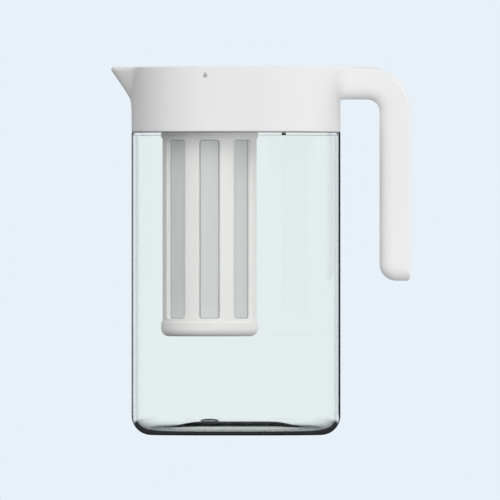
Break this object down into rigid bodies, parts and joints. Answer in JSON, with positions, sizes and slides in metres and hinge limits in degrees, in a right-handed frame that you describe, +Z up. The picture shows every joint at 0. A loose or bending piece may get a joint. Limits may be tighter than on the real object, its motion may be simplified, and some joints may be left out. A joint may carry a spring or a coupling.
{
  "type": "water jug",
  "caption": "Clear obround cold water jug with a white pouring collar, an open-ended handle, a rotary lid and a hanging strainer.",
  "frame": {"origin": "centre of the base, on the surface that the jug stands on", "axes": "+Z up, +X from the spout to the handle, -Y to the front with the drop mark"},
  "size_m": [0.1917, 0.1, 0.236],
  "materials": {
    "clear_plastic": "clear, glossy",
    "white_plastic": "satin moulded",
    "silicone": "soft, matt",
    "mark_grey": "matt",
    "mesh_grey": "fine woven mesh",
    "screw_steel": "bright"
  },
  "bodies": {
    "jug": {"vessel": "clear_plastic", "neck_seal": "silicone", "collar_floor": "white_plastic", "collar_shell": "white_plastic", "handle_inlay": "white_plastic", "pour_mark": "mark_grey"},
    "lid": {"lid_plug": "white_plastic", "lid_upper_seal": "silicone", "lid_lower_seal": "silicone", "port_seal": "silicone"},
    "dial": {"lid_dial": "white_plastic", "dial_pointer": "mark_grey", "valve_drum": "white_plastic", "drum_seal": "silicone", "dial_screw": "screw_steel"},
    "strainer": {"strainer_frame": "white_plastic", "strainer_mesh": "mesh_grey"}
  },
  "joints": [
    {"name": "lid_lift", "type": "slide", "parent": "jug", "child": "lid", "axis": [0, 0, 1], "range_m": [0, 0.18]},
    {"name": "dial_turn", "type": "hinge", "parent": "lid", "child": "dial", "pos_m": [-0.017, 0, 0.231], "axis": [0, 0, -1], "range_deg": [0, 90]},
    {"name": "strainer_pull", "type": "slide", "parent": "lid", "child": "strainer", "axis": [0, 0, -1], "range_m": [0, 0.04]}
  ]
}
